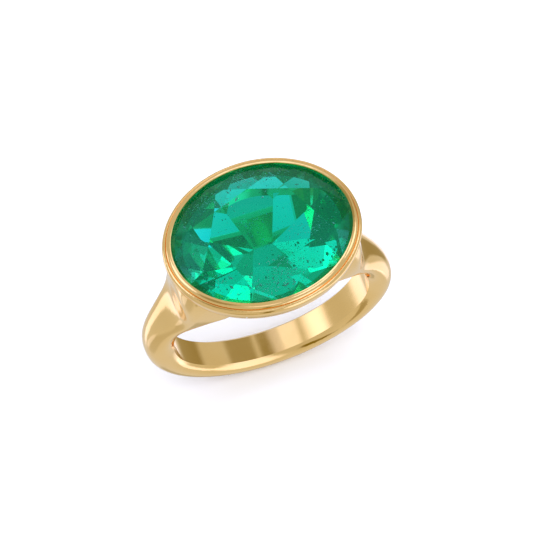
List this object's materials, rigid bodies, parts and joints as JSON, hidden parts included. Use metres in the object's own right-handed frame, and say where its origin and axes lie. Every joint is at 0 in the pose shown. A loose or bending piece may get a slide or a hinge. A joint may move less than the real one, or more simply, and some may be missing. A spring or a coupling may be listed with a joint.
{
  "type": "cocktail ring",
  "caption": "Plain gold finger ring with a large oval faceted emerald set lengthways in a smooth full bezel on widening shoulders.",
  "frame": {"origin": "centre of the finger hole, half way across the band", "axes": "+Y along the finger, +Z out through the middle of the stone, +X along the stone's long axis; right and left shoulder are at +X and -X"},
  "size_m": [0.0216, 0.0132, 0.0261],
  "materials": {
    "gold": "polished 18 carat yellow gold",
    "emerald": "polished facets, clear with natural inclusions"
  },
  "bodies": {
    "root": {"emerald": "emerald", "bezel_rim": "gold", "bezel_cup": "gold", "stone_seat": "gold", "left_shoulder": "gold", "right_shoulder": "gold", "shank": "gold"}
  },
  "joints": []
}
